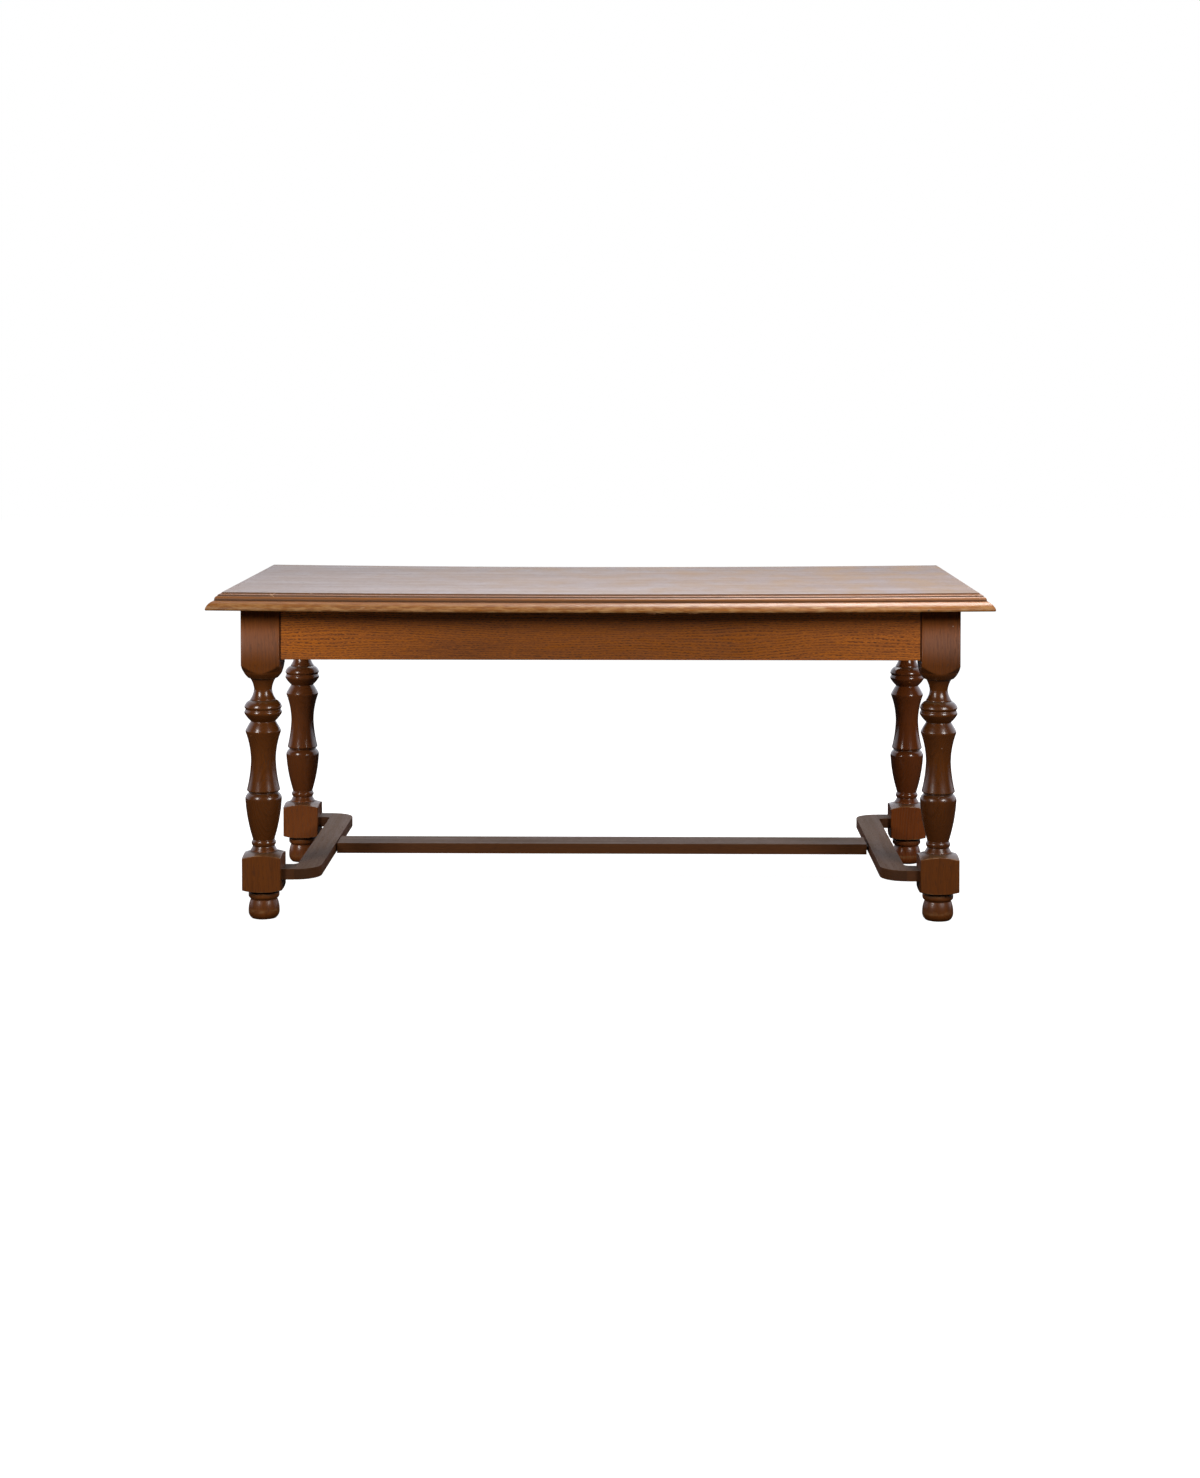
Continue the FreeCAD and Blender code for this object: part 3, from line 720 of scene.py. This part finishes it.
HAZE_SEED = (3.0, 2.0, 8.0)
HAZE_EDGE = (0.36, 0.66)
HAZE_RUN = (-0.7, 0.4, 0.35, 1.0)
HAZE_SHARE = 0.75
HAZE_MATTING = 0.22


def sink(x, y):
    """How far the top has sunk at a place."""
    share = (y + cad_high[1]) / (2 * cad_high[1])
    return (1.0 - (x / cad_high[0]) ** 2) * (SINK_FRONT + (SINK_BACK - SINK_FRONT) * share)


def top_haze(tree, place, colour, rough):
    """Clouds of dulled polish over the whole top."""
    cloud = noise(tree, own_place(tree), HAZE_GRAIN, HAZE_SEED, detail=7.0, roughness=0.62)
    run = scaled(tree, part_of(tree, place, 0), *HAZE_RUN)
    cloudy = reckon(tree, "MULTIPLY", run, scaled(tree, cloud, *HAZE_EDGE))
    colour = blended(tree, reckon(tree, "MULTIPLY", cloudy, HAZE_SHARE), colour, HAZE_COLOUR)
    return colour, reckon(tree, "MULTIPLY_ADD", cloudy, HAZE_MATTING, rough)


def top_board(node, material):
    """One board, whose upper face has sunk and whose underside was never polished."""
    low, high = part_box(node)
    shoulder = high.z - BOARD_EDGE_ROUND
    arris = shoulder - BOARD_EDGE_ROUND
    section = [(low.y, low.z, UNPOLISHED), (high.y, low.z, UNPOLISHED), (high.y, arris, UNPOLISHED),
               (high.y, shoulder, 0.0)]
    for column in range(BOARD_COLUMNS, -1, -1):
        across = low.y + BOARD_EDGE_ROUND + column / BOARD_COLUMNS * (high.y - low.y - 2 * BOARD_EDGE_ROUND)
        section.append((across, high.z, 0.0))
    section += [(low.y, shoulder, 0.0), (low.y, arris, UNPOLISHED)]
    rows = []
    for station in range(BOARD_STATIONS + 1):
        x = low.x + (high.x - low.x) * station / BOARD_STATIONS
        rows.append([(x, y, z - sink(x, y) if z > low.z else z) for y, z, relief in section])
    piece = skinned("laid_" + node, rows)
    piece.data.set_sharp_from_angle(angle=BOARD_CRISP)
    keep_number(piece, "relief", [relief for y, z, relief in section] * len(rows))
    finish(piece, node, material)


for number, (pale, shine) in enumerate(zip(BOARD_TONES, BOARD_SHINE), start=1):
    node = "top_board_%d" % number
    low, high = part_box(node)
    dark = tuple(part * BOARD_DARK_SHARE for part in pale)
    pith = ((low.y + high.y) / 2 + BOARD_PITH_ASIDE, BOARD_PITH_HEIGHT)
    material = wood("top_oak_%d" % number, 0, pith, pale, dark, ring_width=0.005, ring_depth=0.25,
                    wander=0.05, pores=0.3, pore_size=(60.0, 500.0), fibres=0.2, patchiness=0.2,
                    streaks=0.03, shine=shine, polish_index=1.8, relief_bump=0.05, bare=BOARD_BARE,
                    haze=top_haze, seed=BOARD_SEED + number)
    top_board(node, material)


# Edge of the top. An oak moulding mitred round the boards: a low riser, a small round, a step darkened with
# painted shade, a sloping bead and a swelling lower band, whose polish hands and chairs have rubbed down to
# pale wood.
EDGE_WIDTH = 0.034
EDGE_CRISP = math.radians(50)
MOULDING_STATIONS = 700

# The feet of the rim, the riser, the round and the step lie so far out from the boards and down from
# their top, and the foot of the bead so far out and down from the step.
RIM = (0.0005, 0.0004)
RISER = (0.0018, 0.0036)
RIM_ROUND = (0.0088, 0.0057)
STEP = (0.0093, 0.0077)
BEAD = (0.0063, 0.0093)
QUIRK = 0.0012
BAND_HEIGHT = 0.0174
LOWER_ROUND = 0.0022
RISER_BULGE = -0.0003
RIM_BULGE = 0.0008
BEAD_BULGE = 0.0022
BAND_BULGE = 0.0031
LOWER_BULGE = 0.0006
RISER_FACETS = 8
RIM_FACETS = 12
STEP_FACETS = 3
BEAD_FACETS = 18
QUIRK_FACETS = 3
BAND_FACETS = 20
FOOT_FACETS = 4
LOWER_FACETS = 5
EDGE_WAVER = 0.00015
WAVER_TURNS = (61.0, 143.0)
RUBBED_RELIEF = -0.28
CHIP_REACH = 0.006
CHIP_HEIGHT = 0.005

# Grime, painted shade and wear along each stretch of the section, as pairs of a share of the stretch and its
# relief there; relief above zero darkens the riser, the round, the step, the bead's top and the quirk as
# grime and painted shade.
RISER_GRIME_AND_SHADE = ((0.0, 0.4), (1.0, 0.8))
RIM_GRIME_AND_SHADE = ((0.0, 0.7), (0.3, 0.25), (0.8, 0.25), (1.0, 0.85))
STEP_GRIME_AND_SHADE = ((0.0, 1.0), (1.0, 1.0))
BEAD_GRIME_AND_SHADE = ((0.0, 1.8), (0.167, 0.464), (0.222, 0.0), (0.6, 0.0), (1.0, 0.96))
QUIRK_GRIME_AND_SHADE = ((0.0, 1.0), (1.0, 1.0))
BAND_GRIME_SHADE_AND_WEAR = ((0.0, 0.7), (0.15, -0.05), (0.2, -0.26), (1.0, -0.9))
FOOT_WEAR_SHARES = ((0.0, -0.95), (1.0, -0.95))
LOWER_WEAR_SHARES = ((0.0, -1.0), (1.0, -1.0))


def arc_points(start, end, bulge, facets, wear):
    """Points along an arc that stands off its chord, without the first, with their relief."""
    chord = math.hypot(end[0] - start[0], end[1] - start[1])
    aside = ((end[1] - start[1]) / -chord, (end[0] - start[0]) / chord)
    shares, reliefs = zip(*wear)
    points = []
    for facet in range(1, facets + 1):
        share = facet / facets
        rise = 4 * bulge * share * (1 - share)
        points.append((start[0] + (end[0] - start[0]) * share + aside[0] * rise,
                       start[1] + (end[1] - start[1]) * share + aside[1] * rise,
                       float(numpy.interp(share, shares, reliefs))))
    return points


def moulding_section(bottom, top):
    """Section of the edge, outwards and up from the foot of its inner face, with its relief, which darkens
    its hollows as grime and painted shade.
    """
    rim = (RIM[0], top - RIM[1])
    riser_foot = (RISER[0], top - RISER[1])
    round_foot = (RIM_ROUND[0], top - RIM_ROUND[1])
    bead_top = (STEP[0], top - STEP[1])
    bead_foot = (bead_top[0] + BEAD[0], bead_top[1] - BEAD[1])
    band_top = (bead_foot[0], bead_foot[1] - QUIRK)
    band_foot = (EDGE_WIDTH, band_top[1] - BAND_HEIGHT)
    lower_round = (EDGE_WIDTH, bottom + LOWER_ROUND)
    underside = (EDGE_WIDTH - LOWER_ROUND, bottom)
    section = [(0.0, bottom, 0.0), (0.0, rim[1], 1.0), (*rim, 1.0)]
    start = rim
    for end, bulge, facets, wear in ((riser_foot, RISER_BULGE, RISER_FACETS, RISER_GRIME_AND_SHADE),
                                     (round_foot, RIM_BULGE, RIM_FACETS, RIM_GRIME_AND_SHADE),
                                     (bead_top, 0.0, STEP_FACETS, STEP_GRIME_AND_SHADE),
                                     (bead_foot, BEAD_BULGE, BEAD_FACETS, BEAD_GRIME_AND_SHADE),
                                     (band_top, 0.0, QUIRK_FACETS, QUIRK_GRIME_AND_SHADE),
                                     (band_foot, BAND_BULGE, BAND_FACETS, BAND_GRIME_SHADE_AND_WEAR),
                                     (lower_round, 0.0, FOOT_FACETS, FOOT_WEAR_SHARES),
                                     (underside, LOWER_BULGE, LOWER_FACETS, LOWER_WEAR_SHARES)):
        section += arc_points(start, end, bulge, facets, wear)
        start = end
    return section


def chipped(chips, run, height):
    """How much wood is missing at a place along the edge and a height above its foot."""
    missing = 0.0
    for centre, size, depth in chips:
        near = ((run - centre) / size) ** 2 + (height / CHIP_HEIGHT) ** 2
        missing += depth * max(0.0, 1.0 - near)
    return missing


def edge_moulding(node, along, outwards, chips, material):
    """One side of the edge, mitred at both ends and sunk with the boards."""
    low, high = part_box(node)
    reach = high[along]
    outer = high[1 - along] if outwards > 0 else -low[1 - along]
    section = moulding_section(low.z, high.z)
    rows = []
    for station in range(MOULDING_STATIONS + 1):
        share = 2 * station / MOULDING_STATIONS - 1
        waves = math.sin(share * WAVER_TURNS[0]) + math.sin(share * WAVER_TURNS[1] + 1.0)
        row = []
        for out, z, relief in section:
            run = share * (reach - EDGE_WIDTH + out)
            aside = outer - EDGE_WIDTH + out
            if relief < RUBBED_RELIEF:
                aside -= EDGE_WAVER * (1.0 + waves / 2)
            if out > EDGE_WIDTH - CHIP_REACH:
                aside -= chipped(chips, run, z - low.z)
            x, y = (run, outwards * aside) if along == 0 else (outwards * aside, run)
            row.append((x, y, z - sink(x, y)))
        rows.append(row)
    if (along == 0) == (outwards > 0):
        rows.reverse()
    piece = skinned("planed_" + node, rows)
    piece.data.set_sharp_from_angle(angle=EDGE_CRISP)
    keep_number(piece, "relief", [relief for out, z, relief in section] * len(rows))
    finish(piece, node, material)


BAND_FADED = (0.1, 0.6, 0.35)
BAND_PALE = (0.265, 0.092, 0.015)
BAND_DARK = (0.11, 0.029, 0.004)
BAND_BARE = (0.44, 0.225, 0.08)
LONG_EDGE_PITH = (0.47, 0.72)
END_EDGE_PITH = (0.94, 0.72)
LONG_EDGE_SEED = 61.0
END_EDGE_SEED = 65.0


def edge_oak(name, along, pith, seed, faded_run=None, marks=()):
    """Oak of the edge, darkened in its hollows as grime and painted shade, and rubbed pale along its lower
    band.
    """
    return wood(name, along, pith, BAND_PALE, BAND_DARK, ring_width=0.003, ring_depth=0.6, wander=0.012,
                ripple=0.002, pores=0.35, pore_size=(40.0, 700.0), pore_edge=(0.5, 0.6), fibres=0.3,
                streaks=0.25, shine=0.29, polish_index=1.58, relief_bump=0.05, bare=BAND_BARE,
                wear_size=(34.0, 150.0), grime_and_shade=0.68, faded_run=faded_run, marks=marks, seed=seed)


# Chips of the front edge: place along it, half length and depth. Then its marks, as on the legs.
FRONT_CHIPS = ((0.124, 0.005, 0.0012), (0.21, 0.004, 0.001), (-0.668, 0.004, 0.0015), (-0.468, 0.005, 0.0016))
FRONT_LINE = cad_low[1]
RIM_SETBACK = 0.02
RIM_LINE = FRONT_LINE + RIM_SETBACK
PALE_SCRATCH = (0.5, 0.28, 0.15)
PALE_DENT = (0.5, 0.3, 0.18)
CRACK = (0.05, 0.025, 0.012)
FRONT_MARKS = (((-0.752, RIM_LINE, 0.7655), (0.011, 0.03, 0.0009), 25.0, PALE_SCRATCH),
               ((-0.755, RIM_LINE, 0.7635), (0.01, 0.03, 0.0008), -35.0, PALE_SCRATCH),
               ((-0.665, RIM_LINE, 0.767), (0.006, 0.03, 0.001), 0.0, PALE_DENT),
               ((-0.478, RIM_LINE, 0.766), (0.005, 0.03, 0.001), 8.0, PALE_DENT),
               ((-0.543, FRONT_LINE, 0.7365), (0.007, 0.02, 0.0016), 8.0, (0.42, 0.23, 0.11)),
               ((0.5, FRONT_LINE, 0.7375), (0.022, 0.02, 0.0022), 2.0, (0.55, 0.33, 0.16)),
               ((0.752, FRONT_LINE, 0.7325), (0.004, 0.02, 0.0022), 30.0, (0.06, 0.045, 0.035)),
               ((0.1, FRONT_LINE, 0.75), (0.0007, 0.03, 0.005), 0.0, CRACK),
               ((0.123, FRONT_LINE, 0.748), (0.0007, 0.03, 0.004), 5.0, CRACK))
for face, y_sign in FACES:
    chips, marks = (FRONT_CHIPS, FRONT_MARKS) if face == "front" else ((), ())
    pith = (y_sign * LONG_EDGE_PITH[0], LONG_EDGE_PITH[1])
    material = edge_oak("edge_oak_" + face, 0, pith, LONG_EDGE_SEED + y_sign, BAND_FADED, marks)
    edge_moulding("edge_moulding_" + face, 0, y_sign, chips, material)
for side, x_sign in SIDES:
    pith = (x_sign * END_EDGE_PITH[0], END_EDGE_PITH[1])
    material = edge_oak("edge_oak_" + side, 1, pith, END_EDGE_SEED + x_sign)
    edge_moulding("edge_moulding_" + side, 1, x_sign, (), material)


# Splinters. Short strips of the front moulding that have torn loose along its lower edge, right of
# the middle, and hang from it by the grain. Each is given by its place, its length and its drop.
SPLINTERS = ((0.116, 0.016, 0.002), (0.126, 0.008, 0.004), (0.143, 0.026, 0.0018), (0.17, 0.03, 0.0012),
             (0.2065, 0.008, 0.0042), (0.22, 0.022, 0.0024))
SPLINTER_INSET = 0.0028
SPLINTER_DEPTH = 0.002
SPLINTER_OAK = (0.22, 0.09, 0.025)

# The torn line of a splinter: share of its length, how far it bends forwards, share of its drop. In
# its faces points 0 and 1 are the ends of its front root, 2 to 5 the torn line, 6 and 7 its back root.
TORN_LINE = ((0.38, 0.0004, 0.75), (0.1, 0.0006, 0.2), (-0.12, 0.0006, 0.0), (-0.3, 0.0003, 0.6))
SPLINTER_FACES = ((0, 5, 4, 3, 2, 1), (6, 7, 2, 3, 4, 5), (0, 6, 5), (1, 2, 7), (0, 1, 7, 6))
torn_oak = wood("torn_oak", 0, (-LONG_EDGE_PITH[0], LONG_EDGE_PITH[1]), SPLINTER_OAK, BAND_DARK, shine=0.7,
                seed=71.0)
low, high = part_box("edge_moulding_front")
front = low.y + SPLINTER_INSET
back = front + SPLINTER_DEPTH
for number, (run, length, drop) in enumerate(SPLINTERS, start=1):
    foot = low.z - sink(run, low.y)
    root = foot + LOWER_ROUND
    left = run - length / 2
    right = run + length / 2
    torn = [(run + length * along_share, front - bent, foot - drop + drop * up_share)
            for along_share, bent, up_share in TORN_LINE]
    points = [(left, front, root), (right, front, root), *torn, (left, back, root), (right, back, root)]
    piece = piece_from("edge_sliver_%d" % number, points, SPLINTER_FACES, smooth=False)
    piece.data.materials.append(torn_oak)
    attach(piece, "root")


# Screws. Plain steel wood screws, driven up through the blocks into the top. Years in the dark have
# dulled them in spots.
STEEL_COLOUR = (0.42, 0.41, 0.4, 1.0)
STEEL_DULLED = (0.2, 0.17, 0.15, 1.0)
TARNISH_GRAIN = (300.0, 300.0, 120.0)
TARNISH_EDGE = (0.45, 0.65)
TARNISH_ROUGHNESS = (0.3, 0.7, 0.35, 0.6)
SCREW_EASE = 0.0002
steel = bpy.data.materials.new("screw_steel")
tree = cleared_tree(steel)
tarnish = noise(tree, own_place(tree), TARNISH_GRAIN, detail=4.0, roughness=0.6)
steel_colour = blended(tree, scaled(tree, tarnish, *TARNISH_EDGE), STEEL_COLOUR, STEEL_DULLED)
surface = add(tree, "BsdfPrincipled", {"Base Color": steel_colour, "Metallic": 1.0,
                                       "Roughness": scaled(tree, tarnish, *TARNISH_ROUGHNESS)})
add(tree, "OutputMaterial", {0: surface.outputs[0]})
polish("fixing_screws", steel, SCREW_EASE)


# Studio. A pale floor that runs into a white background and keeps the table's shadow. The room is
# nearly dark to the table, except for a pale wall behind it that its polish mirrors.
WHITE = (1.0, 1.0, 1.0, 1.0)
FLOOR_SIZE = 30.0
FLOOR_DROP = 0.0005
FLOOR_LIT = (0.13, 0.13, 0.13, 1.0)
FLOOR_SEEN = (0.6, 0.6, 0.6, 1.0)
FLOOR_MIRRORED = (0.03, 0.03, 0.03, 1.0)
FLOOR_GLOW = (1.5, 6.0, 0.93, 1.0)
WALL_COLOUR = (0.85, 0.895, 1.0, 1.0)
WALL_FRONT_TO_BACK = (-0.1, 0.25, 0.02, 1.34)
WALL_LEFT_TO_RIGHT = (-0.16, 0.0, 0.83, 1.0)
ROOM_LEVEL = 0.02
bpy.ops.mesh.primitive_plane_add(size=FLOOR_SIZE, location=(0.0, 0.0, -FLOOR_DROP))
floor = bpy.context.object
floor.name = "studio_floor"
paint = bpy.data.materials.new("floor_paint")
tree = cleared_tree(paint)
path = add(tree, "LightPath").outputs
paint_colour = blended(tree, path["Is Camera Ray"], FLOOR_LIT, FLOOR_SEEN)
paint_colour = blended(tree, path["Is Glossy Ray"], paint_colour, FLOOR_MIRRORED)
matte = add(tree, "BsdfDiffuse", {"Color": paint_colour})
away = add(tree, "VectorMath", {0: own_place(tree)}, operation="LENGTH").outputs["Value"]
glow_level = reckon(tree, "MULTIPLY", path["Is Camera Ray"], scaled(tree, away, *FLOOR_GLOW))
glow = add(tree, "Emission", {"Color": WHITE, "Strength": glow_level})
mixed = add(tree, "AddShader", {0: matte.outputs[0], 1: glow.outputs[0]})
add(tree, "OutputMaterial", {0: mixed.outputs[0]})
floor.data.materials.append(paint)

world = bpy.data.worlds.new("studio")
bpy.context.scene.world = world
tree = cleared_tree(world)
direction = add(tree, "SeparateXYZ", {0: add(tree, "TexCoord").outputs["Generated"]}).outputs
wall = reckon(tree, "MULTIPLY", scaled(tree, direction[0], *WALL_LEFT_TO_RIGHT),
              scaled(tree, direction[1], *WALL_FRONT_TO_BACK))
path = add(tree, "LightPath").outputs
seen = reckon(tree, "MAXIMUM", path["Is Camera Ray"], path["Is Transmission Ray"])
level = reckon(tree, "MAXIMUM", reckon(tree, "MULTIPLY", path["Is Glossy Ray"], wall), ROOM_LEVEL)
level = reckon(tree, "MAXIMUM", level, seen)
background = add(tree, "Background", {"Color": blended(tree, seen, WALL_COLOUR, WHITE), "Strength": level})
add(tree, "OutputWorld", {0: background.outputs[0]})


# Lamps. A soft lamp at each side towards the front, a weaker one behind, and one overhead above the
# front edge, to the right. Each has its place, its aim, its width and height, and its power in watts.
LAMPS = (("lamp_left", (-2.7, -3.0, 2.3), (0.0, 0.0, 0.4), (0.9, 1.5), 72.0),
         ("lamp_right", (2.5, -3.1, 2.4), (0.0, 0.0, 0.4), (1.1, 1.3), 76.0),
         ("lamp_behind", (-0.7, 2.6, 3.3), (0.0, 0.0, 0.5), (2.0, 1.4), 24.0),
         ("lamp_above", (0.72, -0.12, 2.95), (0.62, -0.35, 0.75), (1.4, 1.5), 72.0))
for name, place, aim, size, power in LAMPS:
    light = bpy.data.lights.new(name, "AREA")
    light.shape = "RECTANGLE"
    light.size, light.size_y = size
    light.energy = power
    lamp = bpy.data.objects.new(name, light)
    lamp.location = place
    lamp.rotation_euler = (Vector(aim) - Vector(place)).to_track_quat("-Z", "Y").to_euler()
    bpy.context.scene.collection.objects.link(lamp)


# Camera. It stands about six metres in front of the table, half a metre above its top, and looks
# almost level. The lens is shifted, as on a studio camera, to bring the table into the frame's middle.
CAMERA_PLACE = (0.088, -5.9006, 1.2761)
CAMERA_YAW = 0.0158
CAMERA_PITCH = 0.0332
CAMERA_ROLL = 0.0003
FOCAL_PIXELS = 2399.1
IMAGE_HEIGHT_PIXELS = 1478.0
AXIS_ROW_PIXELS = 451.9
SENSOR_MM = 36.0
lens = bpy.data.cameras.new("camera")
lens.sensor_width = SENSOR_MM
lens.lens = SENSOR_MM * FOCAL_PIXELS / IMAGE_HEIGHT_PIXELS
lens.shift_y = (AXIS_ROW_PIXELS - IMAGE_HEIGHT_PIXELS / 2) / IMAGE_HEIGHT_PIXELS
camera = bpy.data.objects.new("camera", lens)
camera.location = CAMERA_PLACE
camera.rotation_euler = (math.pi / 2 - CAMERA_PITCH, CAMERA_ROLL, CAMERA_YAW)
bpy.context.scene.collection.objects.link(camera)
bpy.context.scene.camera = camera
bpy.context.scene.view_settings.view_transform = "Standard"
